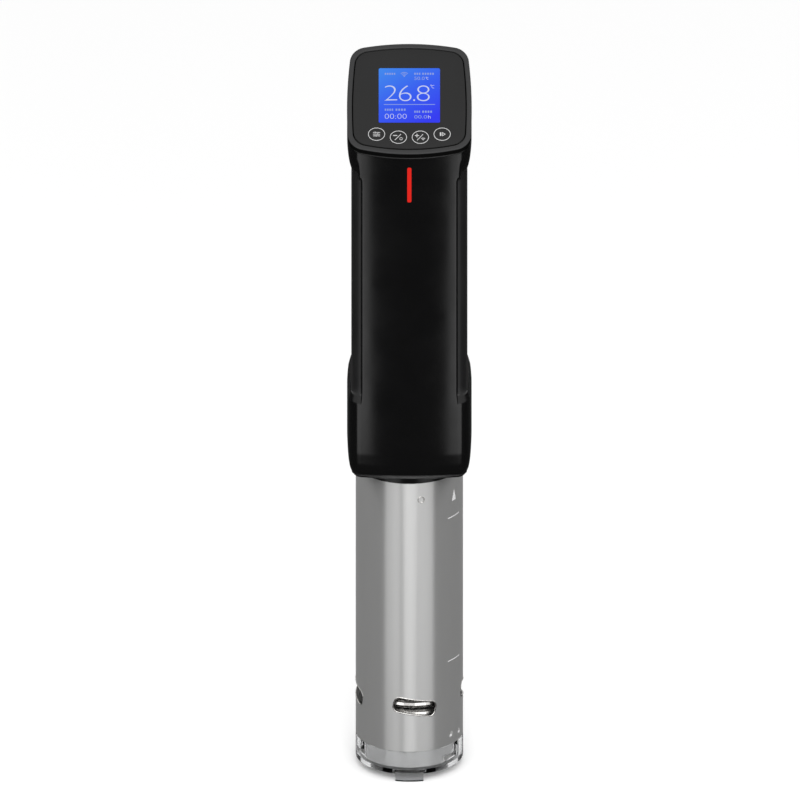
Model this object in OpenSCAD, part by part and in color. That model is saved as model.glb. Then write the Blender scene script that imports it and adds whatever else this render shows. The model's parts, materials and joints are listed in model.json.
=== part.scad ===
// Sous vide circulator: a hand-high immersion heater and pump that stands or clips in a cooking pot.
// Origin: on the steel sleeve's axis, in the plane its feet stand on. +Z is up and the front faces -Y.

/* [Casing] */
// Half of the casing's width
case_hw = 31.2; // [30.6:0.1:33]
// Half of the casing's depth
case_hd = 31; // [30.6:0.1:33]
// Radius of the gently bowed front and back
case_bow_r = 140; // [110:5:200]
// Radius of the nearly flat sides
case_side_r = 400; // [250:10:600]
// Radius of the four upright corners
case_corner_r = 8; // [7:0.5:9]
// Height of the casing's lower lip above the feet
case_z = 166; // [165:0.1:167]
// Depth of the side recess below the casing's surface
grip_recess = 2; // [1.5:0.1:2.2]
// Half width of the flat front between the two side recesses
grip_x = 24; // [23:0.1:25]

/* [Control panel] */
// Slope of the control panel above the horizontal
panel_slope = 40; // [38:0.5:42]
// Height of the panel's lower edge
panel_z = 345.4; // [344:0.1:347]
// Length of the panel up its slope
panel_len = 61.5; // [60:0.1:62]
// Width of the raised frame around the panel
bezel_w = 2.6; // [2.2:0.1:3]
// Display width
lcd_w = 30.6; // [28:0.1:32]
// Display height up the slope
lcd_h = 30.2; // [28:0.1:32]
// Distance of the display's lower edge from the panel's lower edge
lcd_v = 17.6; // [17:0.1:19]

/* [Status light] */
// Width of the light bar
bar_w = 2.1; // [1.6:0.1:3]
// Height of the bar's lower end
bar_z = 318.9; // [316:0.1:320]
// Length of the bar
bar_len = 19; // [15:0.5:20]

/* [Steel sleeve] */
// Outer radius of the sleeve
tube_r = 26.85; // [26.5:0.05:27]
// Wall thickness of the sleeve
tube_t = 0.65; // [0.5:0.05:0.8]
// Height of the sleeve's lower edge
tube_z = 16.3; // [16:0.1:18]
// Width of each water slot
slot_w = 21.4; // [18:0.1:23]
// Height of each water slot
slot_h = 8.2; // [7:0.1:9]
// Height of the slots' centres
slot_z = 40.4; // [38:0.1:44]
// Fall of each slot along its length
slot_tilt = 9.8; // [0:0.1:12]
// Turn of the first slot from the front
slot_az = 6; // [0:0.5:12]

/* [End cap] */
// Height of the cap's lower edge, the length of the feet
foot_h = 4.1; // [3.5:0.1:5]
// Width of each foot
foot_w = 14; // [10:0.5:16]
// Turn between locked and open
cap_turn = 16; // [12:1:18]

/* [Pump and heater] */
// Drive shaft radius
shaft_r = 2; // [1.8:0.1:2.5]
// Running clearance around the shaft
run_gap = 0.05; // [0.03:0.01:0.08]
// Heater rod radius
heater_r = 2.2; // [1.8:0.1:2.4]
// Radius of the heater coil's centre line
coil_r = 21.6; // [20:0.1:22]
// Rise of the coil per turn
coil_pitch = 5.1; // [5:0.1:6]
// Number of full turns
coil_turns = 5; // [3:1:6]
// Height of the coil's lowest turn
coil_z = 31.5; // [30:0.5:34]

/* [Rear clip] */
// Half width of the clip lever
clip_hw = 10.6; // [9:0.1:12]
// Height of the clip's pivot
clip_z = 232; // [228:1:236]
// Distance of the pivot behind the sleeve's axis
clip_y = 38.5; // [38:0.1:40]

/* [Hidden] */
$fn = 64;

// Casing levels
case_top = panel_z + panel_len * sin(panel_slope);
bow_v = 25;
back_r = 35;
back_z = 356.2;
groove_z = case_z + 1.9;
shell_z = groove_z + 0.4;
// Inset of the body's drawn-in foot at a few heights above the lip
foot_in = [[0, 3.2], [2.3, 1.9], [4.5, 1.15], [8, 0.5], [14, 0]];
grip_z0 = 207;
grip_z1 = 214;
grip_z2 = 323;
grip_z3 = 330;
grip_z4 = 341;
pad_t = 1.4;
deep = grip_recess + pad_t;
inner = deep + 1.8;
wall = 2.6;
bezel_t = 1.6;
rim_in = 5.4;

// Sleeve and cap levels
tube_in = tube_r - tube_t;
tube_top = 186;
flange_z = 176;
collar_r = 27.2;
collar_z = 163.2;
cap_in = 25;
cap_bot = foot_h + 1.8;
pin_z = 9.4;
pin_az = [44, 164, 284];

// Points of one arc from angle a0 to a1
function arc(c, r, a0, a1, n) =
    [for (i = [0:n]) c + r * [cos(a0 + (a1 - a0) * i / n), sin(a0 + (a1 - a0) * i / n)]];

// The meeting point of two circles, on the positive side
function meet(c1, r1, c2, r2) =
    let (d = norm(c2 - c1))
    let (u = (c2 - c1) / d)
    let (a = (r1 * r1 - r2 * r2 + d * d) / (2 * d))
    let (h = sqrt(max(0, r1 * r1 - a * a)))
    let (p = c1 + a * u + h * [-u[1], u[0]])
    let (q = c1 + a * u - h * [-u[1], u[0]])
    p[0] + p[1] > q[0] + q[1] ? p : q;

// One quarter of a bowed rounded rectangle, from its side middle to its end middle
function quarter(w, h, r_end, r_side, r_corner) =
    let (e = [0, h - r_end])
    let (s = [w - r_side, 0])
    let (c = meet(e, r_end - r_corner, s, r_side - r_corner))
    let (a_s = atan2(c[1] - s[1], c[0] - s[0]))
    let (a_e = atan2(c[1] - e[1], c[0] - e[0]))
    let (p1 = arc(s, r_side, 0, a_s, 4))
    let (p2 = arc(c, r_corner, a_s, a_e, 8))
    let (p3 = arc(e, r_end, a_e, 90, 8))
    concat(p1, [for (i = [1:8]) p2[i]], [for (i = [1:8]) p3[i]]);

// A closed outline from an upper and a lower quarter
function outline(up, low) =
    let (n = len(up), m = len(low))
    concat(up,
        [for (i = [n - 2:-1:0]) [-up[i][0], up[i][1]]],
        [for (i = [1:m - 1]) [-low[i][0], -low[i][1]]],
        [for (i = [m - 2:-1:1]) [low[i][0], -low[i][1]]]);

// Plan section of the casing, inset by d
function section(d) =
    let (q = quarter(case_hw - d, case_hd - d, case_bow_r - d, case_side_r - d, case_corner_r - d))
    outline(q, q);

// Panel outline in the plane of the slope, inset by d, measured from its widest line
function panel_shape(d) =
    outline(quarter(case_hw - d, panel_len - bow_v - d, 118 - d, 250 - d, 7 - d * 0.45),
        quarter(case_hw - d, bow_v - d, 108 - d, 250 - d, 7 - d * 0.45));

// Side profile of the head: the slope sunk by t, and the rounded back inset by d
function side_profile(d, t) =
    let (dir = [cos(panel_slope), sin(panel_slope)])
    let (p0 = [-case_hd, panel_z] - t * [-sin(panel_slope), cos(panel_slope)])
    let (c = [case_hd - back_r, back_z])
    let (w = p0 - c)
    let (b = w * dir)
    let (s = -b + sqrt(b * b - (w * w - (back_r - d) * (back_r - d))))
    let (apex = p0 + s * dir)
    let (a0 = atan2(apex[1] - c[1], apex[0] - c[0]))
    concat([[-50, 100], p0 - 24 * dir], arc(c, back_r - d, a0, 0, 12), [[60, back_z], [60, 100]]);

// Rounded upper end of the head in the plane of the slope, inset by d and open below. Its sides start
// inside the casing's sides, so that the two never just touch.
function head_profile(d) =
    let (q = quarter(case_hw - d, panel_len - bow_v - d, 118 - d, 250 - d, 7 - d * 0.45))
    let (n = len(q))
    let (up = [for (i = [1:n - 1]) [q[i][0], q[i][1] + bow_v]])
    concat([[60, -90], [60, up[0][1] - 3]], up, [for (i = [n - 3:-1:0]) [-up[i][0], up[i][1]]],
        [[-60, up[0][1] - 3], [-60, -90]]);

// A tube swept along points p, each with a reference direction g across the path
function unit(v) = v / norm(v);
function ring_at(p, g, i, r, n) =
    let (a = p[max(0, i - 1)])
    let (b = p[min(len(p) - 1, i + 1)])
    let (t = unit(b - a))
    let (u = unit(g[i] - (g[i] * t) * t))
    let (v = cross(t, u))
    [for (k = [0:n - 1]) p[i] + r * (cos(360 * k / n) * u + sin(360 * k / n) * v)];

module sweep(p, g, r, n) {
    m = len(p);
    pts = [for (i = [0:m - 1]) each ring_at(p, g, i, r, n)];
    sides = [for (i = [0:m - 2]) for (k = [0:n - 1])
        each [[i * n + k, (i + 1) * n + (k + 1) % n, i * n + (k + 1) % n],
            [i * n + k, (i + 1) * n + k, (i + 1) * n + (k + 1) % n]]];
    first = [for (k = [0:n - 1]) k];
    last = [for (k = [n - 1:-1:0]) (m - 1) * n + k];
    polyhedron(points = pts, faces = concat(sides, [first], [last]));
}

// Cylindrical coordinates to a point
function cyl(r, a, z) = [r * cos(a), r * sin(a), z];

module ring(r_out, r_in, z0, z1) {
    translate([0, 0, z0])
        difference() {
            cylinder(r = r_out, h = z1 - z0);
            translate([0, 0, -1])
                cylinder(r = r_in, h = z1 - z0 + 2);
        }
}

module rrect(w, h, r) {
    square([w - 2 * r, h], center = true);
    square([w, h - 2 * r], center = true);
    for (sx = [-1, 1])
        for (sy = [-1, 1])
            translate([sx * (w / 2 - r), sy * (h / 2 - r)])
                circle(r = r);
}

module box3(x0, x1, y0, y1, z0, z1) {
    translate([x0, y0, z0])
        cube([x1 - x0, y1 - y0, z1 - z0]);
}

// Places children on the sloping panel: x across, y up the slope from the lower edge, z out of it
module on_panel(w = 0) {
    translate([0, -case_hd, panel_z])
        rotate([panel_slope, 0, 0])
            translate([0, 0, w])
                children();
}

module panel_slab(d, w0, w1) {
    on_panel(w0)
        translate([0, bow_v, 0])
            linear_extrude(w1 - w0)
                polygon(panel_shape(d));
}

// The casing's outer form, sunk by t below the panel plane and inset by d
module head_form(d, t, z0) {
    intersection() {
        translate([0, 0, z0])
            linear_extrude(case_top - z0 + 2)
                polygon(section(d));
        rotate([90, 0, 90])
            translate([0, 0, -50])
                linear_extrude(100)
                    polygon(side_profile(d, t));
        on_panel(-75)
            linear_extrude(76)
                polygon(head_profile(d));
    }
}

module slice(d, z, h) {
    translate([0, 0, z])
        linear_extrude(h)
            polygon(section(d));
}

// Body outside with the side recesses taken in
module case_form() {
    difference() {
        union() {
            head_form(0, bezel_t, grip_z4);
            slice(deep, shell_z + 6, grip_z4 - shell_z - 5);
            slice(0, case_z + foot_in[4][0], grip_z0 - case_z - foot_in[4][0]);
            for (i = [1:3])
                hull() {
                    slice(foot_in[i][1], case_z + foot_in[i][0], 0.01);
                    slice(foot_in[i + 1][1], case_z + foot_in[i + 1][0], 0.01);
                }
            hull() {
                slice(0, grip_z0 - 0.01, 0.01);
                slice(grip_recess, grip_z1 - 0.01, 0.01);
            }
            hull() {
                slice(0, grip_z4 - 0.01, 0.02);
                slice(0.5, grip_z3, 0.01);
            }
            hull() {
                slice(0.5, grip_z3, 0.01);
                slice(grip_recess, grip_z2, 0.01);
            }
            intersection() {
                slice(0, grip_z0 - 1, grip_z4 - grip_z0 + 2);
                box3(-grip_x, grip_x, -50, 50, grip_z0 - 2, grip_z4 + 2);
            }
        }
    }
}

module case_room() {
    slice(wall, 180.5, 23.5);
    translate([0, 0, case_z])
        cylinder(r = collar_r, h = 20);
    slice(inner, 203, 126);
    difference() {
        head_form(wall, bezel_t + wall, 329 - 0.5);
        box3(-50, 50, -50, 50, 300, 328.5);
    }
    panel_slab(rim_in, -6, 0);
}

// The four screw posts that tie the casing halves together
posts = [[-21.6, 198], [21.6, 198], [-21.6, 316], [21.6, 316]];
module post(p, r, y0, y1) {
    translate([p[0], y0, p[1]])
        rotate([-90, 0, 0])
            cylinder(r = r, h = y1 - y0);
}

module front_casing() {
    color([0.03, 0.03, 0.033])
        difference() {
            union() {
                intersection() {
                    difference() {
                        case_form();
                        case_room();
                    }
                    box3(-50, 50, -50, 0, 100, 420);
                }
                intersection() {
                    for (p = posts)
                        post(p, 3, -30, 0);
                    slice(wall, 180, 150);
                    box3(-50, 50, -50, 0, 100, 420);
                }
            }
            for (p = posts)
                post(p, 1.25, -14, 1);
            box3(-bar_w / 2, bar_w / 2, -50, -20, bar_z, bar_z + bar_len);
        }
}

module rear_casing() {
    color([0.03, 0.03, 0.033])
        difference() {
            union() {
                intersection() {
                    difference() {
                        case_form();
                        case_room();
                    }
                    box3(-50, 50, 0, 50, 100, 420);
                }
                intersection() {
                    for (p = posts)
                        post(p, 3.6, 0, 30);
                    slice(wall, 180, 150);
                    box3(-50, 50, 0, 50, 100, 420);
                }
            }
            for (p = posts) {
                post(p, 1.7, -1, 40);
                post(p, 2.9, 24, 40);
            }
            translate([0, 20, 300])
                rotate([-90, 0, 0])
                    cylinder(r = 5.5, h = 20);
        }
}

module casing_base() {
    color([0.03, 0.03, 0.033])
        difference() {
            union() {
                hull() {
                    slice(foot_in[0][1], case_z, 0.01);
                    slice(foot_in[1][1], groove_z, 0.01);
                }
                slice(foot_in[1][1] + 0.7, groove_z - 0.1, 0.5);
            }
            translate([0, 0, case_z - 1])
                cylinder(r = collar_r, h = 12);
        }
}

module collar_ring() {
    color([0.03, 0.03, 0.033])
        ring(collar_r, tube_r, collar_z, case_z);
}

module collar_seal() {
    color([0.1, 0.1, 0.1])
        ring(collar_r, tube_r, case_z, 182);
}

// A soft pad filling the bottom of one side recess
module side_pad(s) {
    color([0.045, 0.045, 0.05])
        intersection() {
            difference() {
                slice(grip_recess, grip_z1, grip_z2 - grip_z1);
                slice(deep, grip_z1 - 1, grip_z2 - grip_z1 + 2);
            }
            box3(s > 0 ? grip_x + 0.9 : -50, s > 0 ? 50 : -grip_x - 0.9, -50, 50, 100, 400);
        }
}

module side_grip_left() {
    side_pad(-1);
}

module side_grip_right() {
    side_pad(1);
}

module casing_screws() {
    color([0.6, 0.6, 0.62])
        for (p = posts) {
            post(p, 2.7, 24.02, 26);
            post(p, 1.24, -12, 24.02);
        }
}

module panel_bezel() {
    color([0.25, 0.25, 0.26])
        difference() {
            intersection() {
                head_form(0, 0, 320);
                panel_slab(0, -bezel_t, 0);
            }
            panel_slab(bezel_w, -bezel_t - 1, 1);
        }
}

module panel_gasket() {
    color([0.05, 0.05, 0.05])
        difference() {
            panel_slab(bezel_w + 0.6, -bezel_t, -1.2);
            panel_slab(rim_in, -bezel_t - 1, 0);
        }
}

module lcd_cut(g, w0, w1) {
    on_panel(w0)
        translate([0, lcd_v + lcd_h / 2, 0])
            linear_extrude(w1 - w0)
                rrect(lcd_w + g, lcd_h + g, 0.8);
}

module control_panel() {
    color([0.2, 0.2, 0.205])
        difference() {
            panel_slab(bezel_w + 0.6, -1.2, -0.1);
            lcd_cut(0, -3, 1);
        }
}

module display_window() {
    color([0.2, 0.35, 0.95])
        lcd_cut(0, -1.2, -0.12);
}

module display_module() {
    color([0.75, 0.75, 0.78])
        on_panel(-4.6)
            translate([0, lcd_v + lcd_h / 2, 0])
                linear_extrude(3.4)
                    square([38, 36], center = true);
}

// Middles of the four touch keys: across, and up the slope
keys = [[-16.4, 11.1], [-5.5, 9.4], [5.5, 9.4], [16.4, 11.1]];
module touch_pads() {
    color([0.8, 0.8, 0.8])
        for (k = keys)
            on_panel(-6)
                translate([k[0], k[1] + 0.4, 0])
                    cylinder(r = 2.9, h = 4.8);
}

module control_board() {
    color([0.05, 0.3, 0.15])
        difference() {
            panel_slab(6.6, -7.6, -6);
            for (s = [-1, 1])
                on_panel(-9)
                    translate([s * 20, 50, 0])
                        cylinder(r = 1.3, h = 6);
        }
}

module wifi_module() {
    color([0.7, 0.7, 0.72])
        on_panel(-10.2)
            translate([-12, 40, 0])
                linear_extrude(2.6)
                    square([16, 18], center = true);
}

module buzzer() {
    color([0.04, 0.04, 0.04])
        on_panel(-13.6)
            translate([13, 40, 0])
                difference() {
                    cylinder(r = 6, h = 6);
                    translate([0, 0, -1])
                        cylinder(r = 1, h = 3);
                }
}

module status_light_bar() {
    color([0.9, 0.15, 0.1])
        intersection() {
            box3(-bar_w / 2, bar_w / 2, -50, -27.6, bar_z, bar_z + bar_len);
            slice(0, bar_z - 1, bar_len + 2);
        }
}

module status_led_board() {
    color([0.05, 0.3, 0.15])
        union() {
            box3(-4, 4, -23.6, -22.2, bar_z - 4, bar_z + bar_len - 2);
            for (i = [0:3])
                box3(-1.2, 1.2, -24.6, -23.6, bar_z + 0.4 + 4 * i, bar_z + 2.8 + 4 * i);
        }
}

module power_board() {
    color([0.05, 0.3, 0.15])
        box3(-17, 17, 13, 14.6, 240, 322);
}

module transformer() {
    color([0.75, 0.6, 0.2])
        union() {
            box3(-11, 11, -5, 13, 284, 288);
            box3(-11, 11, -5, 13, 302, 306);
            box3(-8, 8, -3, 11, 288, 302);
        }
}

module capacitors() {
    color([0.1, 0.12, 0.3])
        for (s = [-1, 1])
            translate([s * 9, 13, 272])
                rotate([90, 0, 0])
                    cylinder(r = 6, h = 20);
}

module heat_sink() {
    color([0.7, 0.7, 0.7])
        union() {
            box3(-14, 14, 10, 13, 242, 262);
            for (i = [0:6])
                box3(-14 + i * 4.4, -12.4 + i * 4.4, 0, 10, 242, 262);
        }
}

module cord_gland() {
    color([0.03, 0.03, 0.03])
        translate([0, 0, 300])
            rotate([-90, 0, 0])
                difference() {
                    union() {
                        translate([0, 0, 24])
                            cylinder(r = 7.4, h = 1.5);
                        translate([0, 0, 24])
                            cylinder(r = 5.4, h = 8);
                        translate([0, 0, 31.1])
                            cylinder(r = 7.4, h = 2.4);
                    }
                    translate([0, 0, 20])
                        cylinder(r = 3.6, h = 20);
                }
}

module steel_sleeve() {
    color([0.75, 0.75, 0.76])
        difference() {
            ring(tube_r, tube_in, tube_z, tube_top);
            for (k = [0:3])
                rotate([0, 0, slot_az + 90 * k])
                    rotate([90, 0, 0])
                        translate([0, slot_z, 10])
                            rotate(-slot_tilt)
                                linear_extrude(30)
                                    rrect(slot_w, slot_h, 2.8);
            rotate([0, 0, 12.6])
                rotate([90, 0, 0])
                    translate([0, 154.1, tube_r - 0.25])
                        cylinder(r = 1.7, h = 13);
        }
}

// Where rods pass through the flange: radius from the axis, angle, rod radius
heat_a = 150;
end_r = coil_r - 8.6;
module heater_flange() {
    color([0.6, 0.6, 0.62])
        difference() {
            translate([0, 0, flange_z])
                cylinder(r = tube_in, h = 4);
            translate([0, 0, flange_z - 1])
                cylinder(r = 5, h = 6);
            translate([cyl(coil_r, heat_a, 0)[0], cyl(coil_r, heat_a, 0)[1], flange_z - 1])
                cylinder(r = heater_r + 0.1, h = 6);
            translate([cyl(end_r, end_a, 0)[0], cyl(end_r, end_a, 0)[1], flange_z - 1])
                cylinder(r = heater_r + 0.1, h = 6);
            translate([12, 0, flange_z - 1])
                cylinder(r = 2.5, h = 6);
            for (s = [0, 1])
                translate([6 + s * 7, 13 - s * 3, flange_z - 1])
                    cylinder(r = 1.6, h = 6);
        }
}

module flange_seal() {
    color([0.5, 0.1, 0.08])
        ring(tube_in, tube_in - 2.2, flange_z - 2, flange_z);
}

// Heater path: down one leg, round the coil, in to a smaller radius and up the other leg
bend = 6;
coil_h = coil_pitch * coil_turns;
turn_in = 60;
bend_a = bend / coil_r * 180 / PI;
bend_b = bend / end_r * 180 / PI;
a_start = heat_a + bend_a;
a_last = a_start + 360 * coil_turns;
a_up = a_last + turn_in;
heat_top = 184;
end_a = a_up + bend_b;
heater_path = concat(
    [for (i = [0:3]) cyl(coil_r, heat_a, heat_top + (coil_z + coil_h + bend - heat_top) * i / 4)],
    [for (i = [0:4]) cyl(coil_r, heat_a + bend_a * (1 - cos(22.5 * i)), coil_z + coil_h + bend * (1 - sin(22.5 * i)))],
    [for (i = [1:26 * coil_turns]) cyl(coil_r, a_start + 360 * i / 26, coil_z + coil_h - coil_pitch * i / 26)],
    [for (i = [1:8]) cyl(coil_r + (end_r - coil_r) * (1 - cos(22.5 * i)) / 2, a_last + turn_in * i / 8, coil_z)],
    [for (i = [1:4]) cyl(end_r, a_up + bend_b * sin(22.5 * i), coil_z + bend * (1 - cos(22.5 * i)))],
    [for (i = [1:4]) cyl(end_r, a_up + bend_b, coil_z + bend + (heat_top - coil_z - bend) * i / 4)]);
heater_dir = [for (p = heater_path) [p[0], p[1], 0]];

module heater_coil() {
    color([0.8, 0.78, 0.74])
        sweep(heater_path, heater_dir, heater_r, 10);
}

module temperature_probe() {
    color([0.8, 0.8, 0.82])
        translate([12, 0, 0])
            union() {
                translate([0, 0, 62])
                    sphere(r = 2.5);
                translate([0, 0, 62])
                    cylinder(r = 2.5, h = 122);
            }
}

module level_rods() {
    color([0.8, 0.8, 0.82])
        for (s = [0, 1])
            translate([6 + s * 7, 13 - s * 3, 62.3 + s * 8])
                cylinder(r = 1.6, h = 184 - 62.3 - s * 8);
}

module motor_mount() {
    color([0.1, 0.1, 0.1])
        difference() {
            union() {
                translate([0, 0, 186])
                    cylinder(r = 25, h = 2);
                ring(25, 24, flange_z + 4, 186);
            }
            translate([0, 0, 185])
                cylinder(r = 6.5, h = 4);
        }
}

motor_z0 = 188;
motor_z1 = 230;
module motor_can() {
    color([0.6, 0.6, 0.62])
        difference() {
            translate([0, 0, motor_z0])
                cylinder(r = 17.6, h = motor_z1 - motor_z0);
            translate([0, 0, motor_z0 + 6])
                cylinder(r = 15.4, h = motor_z1 - motor_z0 - 12);
            translate([0, 0, motor_z0 - 1])
                cylinder(r = 6.5, h = motor_z1 - motor_z0 + 2);
        }
}

module bearings() {
    color([0.7, 0.7, 0.72])
        union() {
            ring(6.5, shaft_r + run_gap, motor_z0 + 1, motor_z0 + 6);
            ring(6.5, shaft_r + run_gap, motor_z1 - 6, motor_z1 - 1);
        }
}

module shaft_bush() {
    color([0.85, 0.82, 0.7])
        ring(5, shaft_r + run_gap, flange_z - 3, flange_z + 5);
}

module motor_rotor() {
    color([0.3, 0.3, 0.3])
        ring(14.6, shaft_r, motor_z0 + 8, motor_z1 - 8);
}

module drive_shaft() {
    color([0.8, 0.8, 0.82])
        translate([0, 0, 19])
            cylinder(r = shaft_r, h = motor_z1 + 3 - 19);
}

module impeller() {
    color([0.08, 0.08, 0.085])
        difference() {
            union() {
                translate([0, 0, 18.4])
                    cylinder(r = 5, h = 8.6);
                translate([0, 0, 25.4])
                    cylinder(r = 12, h = 1.2);
                for (k = [0:5])
                    rotate([0, 0, 60 * k])
                        translate([3.5, -0.6, 18.4])
                            cube([11.5, 1.2, 7.4]);
            }
            translate([0, 0, 19])
                cylinder(r = shaft_r, h = 20);
        }
}

// Fixed ring in the foot of the sleeve, with three pins that the cap turns on to
module bayonet_ring() {
    color([0.75, 0.75, 0.76])
        union() {
            ring(tube_in, 22.6, tube_z + 0.2, 24);
            ring(cap_in - 0.1, 22.6, 7.2, tube_z + 1);
            for (a = pin_az)
                rotate([0, 0, a])
                    translate([0, -24, pin_z])
                        rotate([90, 0, 0])
                            cylinder(r = 1.5, h = 2.4);
        }
}

// A straight-sided wedge between two turns from the front, for cutting through a ring's wall
module wedge(r_in, r_out, z0, z1, a0, a1) {
    translate([0, 0, z0])
        linear_extrude(z1 - z0)
            polygon([for (p = [[r_in, a0], [r_out, a0], [r_out, a1], [r_in, a1]])
                [p[0] * sin(p[1]), -p[0] * cos(p[1])]]);
}

module end_cap() {
    color([0.85, 0.87, 0.9, 0.35])
        difference() {
            cylinder(r = tube_r, h = tube_z - 0.1);
            translate([0, 0, cap_bot])
                cylinder(r = cap_in, h = 20);
            translate([0, 0, -1])
                cylinder(r = cap_in - 0.6, h = foot_h + 1);
            translate([0, 0, foot_h - 1])
                cylinder(r = 5.2, h = 10);
            difference() {
                translate([0, 0, -1])
                    cylinder(r = 40, h = foot_h + 1);
                translate([0, 0, -2])
                    cylinder(r = 12, h = foot_h + 3);
                for (a = [0, 120, 240])
                    rotate([0, 0, a])
                        box3(-foot_w / 2, foot_w / 2, -50, 0, -3, foot_h + 1);
            }
            for (a = [0:60:300])
                difference() {
                    wedge(10, 30, foot_h - 1, cap_bot + 1, a + 37, a + 83);
                    difference() {
                        translate([0, 0, foot_h - 2])
                            cylinder(r = 50, h = 10);
                        translate([0, 0, foot_h - 3])
                            cylinder(r = 19.5, h = 12);
                    }
                }
            for (a = pin_az) {
                wedge(22, 31, pin_z - 1.65, pin_z + 1.65, a - 3.8, a + cap_turn + 3.8);
                wedge(22, 31, pin_z, tube_z + 1, a + cap_turn - 3.8, a + cap_turn + 3.8);
            }
        }
}

module clip_bracket() {
    color([0.03, 0.03, 0.033])
        difference() {
            union() {
                box3(-15, 15, 25, 33.4, 206, 252);
                for (s = [-1, 1])
                    box3(s > 0 ? 11 : -14.5, s > 0 ? 14.5 : -11, 30, clip_y, clip_z - 5, clip_z + 5);
                for (s = [-1, 1])
                    translate([s > 0 ? 11 : -14.5, clip_y, clip_z])
                        rotate([0, 90, 0])
                            cylinder(r = 5, h = 3.5);
            }
            slice(0, 200, 60);
            translate([-20, clip_y, clip_z])
                rotate([0, 90, 0])
                    cylinder(r = 1.5, h = 40);
        }
}

module clip_saddle_pad() {
    color([0.08, 0.08, 0.08])
        difference() {
            box3(-10, 10, 27, 32.2, 174, 200);
            slice(0, 170, 40);
        }
}

module clip_pin() {
    color([0.75, 0.75, 0.76])
        translate([-15, clip_y, clip_z])
            rotate([0, 90, 0])
                cylinder(r = 1.5, h = 30);
}

lever_side = [[50.6, 277], [48, 278], [42.4, 250], [36.4, 237], [36.2, 226], [36.2, 168], [39.2, 168],
    [39.8, 222], [42, 232], [45, 247]];
module clip_lever() {
    color([0.03, 0.03, 0.033])
        difference() {
            union() {
                translate([-clip_hw, 0, 0])
                    rotate([90, 0, 90])
                        linear_extrude(2 * clip_hw)
                            polygon(lever_side);
                translate([-clip_hw, clip_y, clip_z])
                    rotate([0, 90, 0])
                        cylinder(r = 3.9, h = 2 * clip_hw);
            }
            box3(-5.4, 5.4, 30, 43.4, clip_z - 6, clip_z + 6);
            translate([-20, clip_y, clip_z])
                rotate([0, 90, 0])
                    cylinder(r = 1.5 + run_gap, h = 40);
        }
}

module clip_jaw_pad() {
    color([0.08, 0.08, 0.08])
        box3(-10, 10, 32.8, 36.2, 172, 200);
}

// Torsion spring on the pin, with one arm on the bracket and one on the lever
spring_r = 2.6;
spring_turns = 6;
spring_arc = [for (i = [0:16 * spring_turns])
    [-4 + 8 * i / (16 * spring_turns), spring_r * cos(360 * i / 16), spring_r * sin(360 * i / 16)]];
spring_path = concat([[-4, spring_r, -3.4], [-4, spring_r, -1.7]], spring_arc, [[4, spring_r, 1.7], [4, spring_r, 3.4]]);
spring_dir = [for (p = spring_path) abs(p[2]) > 1.65 && p[1] == spring_r ? [0, 1, 0] : [0, p[1], p[2]]];

module clip_spring() {
    color([0.7, 0.7, 0.72])
        translate([0, clip_y, clip_z])
            sweep(spring_path, spring_dir, 0.5, 8);
}

front_casing();
rear_casing();
casing_base();
collar_ring();
collar_seal();
side_grip_left();
side_grip_right();
casing_screws();
panel_bezel();
panel_gasket();
control_panel();
display_window();
display_module();
touch_pads();
control_board();
wifi_module();
buzzer();
status_light_bar();
status_led_board();
power_board();
transformer();
capacitors();
heat_sink();
cord_gland();
steel_sleeve();
heater_flange();
flange_seal();
heater_coil();
temperature_probe();
level_rods();
motor_mount();
motor_can();
bearings();
shaft_bush();
motor_rotor();
drive_shaft();
impeller();
bayonet_ring();
end_cap();
clip_bracket();
clip_saddle_pad();
clip_pin();
clip_lever();
clip_jaw_pad();
clip_spring();
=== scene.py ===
import json
import math

import bpy
import numpy as np
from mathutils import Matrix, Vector


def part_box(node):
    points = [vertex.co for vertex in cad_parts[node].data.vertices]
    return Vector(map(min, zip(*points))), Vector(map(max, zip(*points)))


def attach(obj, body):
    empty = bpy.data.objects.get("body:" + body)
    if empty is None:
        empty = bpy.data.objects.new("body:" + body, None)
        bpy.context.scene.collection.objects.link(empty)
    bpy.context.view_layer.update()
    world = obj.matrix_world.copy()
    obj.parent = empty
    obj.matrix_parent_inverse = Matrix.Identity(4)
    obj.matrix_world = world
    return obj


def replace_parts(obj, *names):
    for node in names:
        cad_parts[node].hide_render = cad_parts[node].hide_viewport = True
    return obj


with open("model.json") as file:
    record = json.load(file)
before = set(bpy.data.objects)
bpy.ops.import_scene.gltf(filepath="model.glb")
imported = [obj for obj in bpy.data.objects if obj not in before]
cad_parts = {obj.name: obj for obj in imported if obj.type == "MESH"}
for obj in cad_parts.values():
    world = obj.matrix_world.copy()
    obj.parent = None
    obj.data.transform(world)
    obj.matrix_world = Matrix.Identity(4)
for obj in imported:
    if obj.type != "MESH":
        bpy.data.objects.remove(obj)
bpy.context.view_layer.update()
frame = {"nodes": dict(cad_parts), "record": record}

# Sous vide circulator. Lengths below are in millimetres in the part's own frame: the origin is on
# the sleeve's axis in the feet's plane, +Z is up and the front faces -Y.
MM = 0.001
NODES = frame["nodes"]


def corner(node, top):
    """One corner of a CAD node's box, in millimetres."""
    return np.array(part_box(node)[1 if top else 0]) / MM


# Casing in plan: half width and depth, and the radii of its bowed front, sides and corners
CASE_HW = corner("front_casing", True)[0]
CASE_HD = -corner("front_casing", False)[1]
BOW_R, SIDE_R, CORNER_R = 140.0, 400.0, 8.0
LIP_Z = corner("casing_base", False)[2]
GROOVE_Z = corner("front_casing", False)[2] - 0.4
FOOT_HEIGHTS = [0.0, 2.3, 4.5, 8.0, 14.0]
FOOT_INSETS = [3.2, 1.6, 0.8, 0.25, 0.0]

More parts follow.
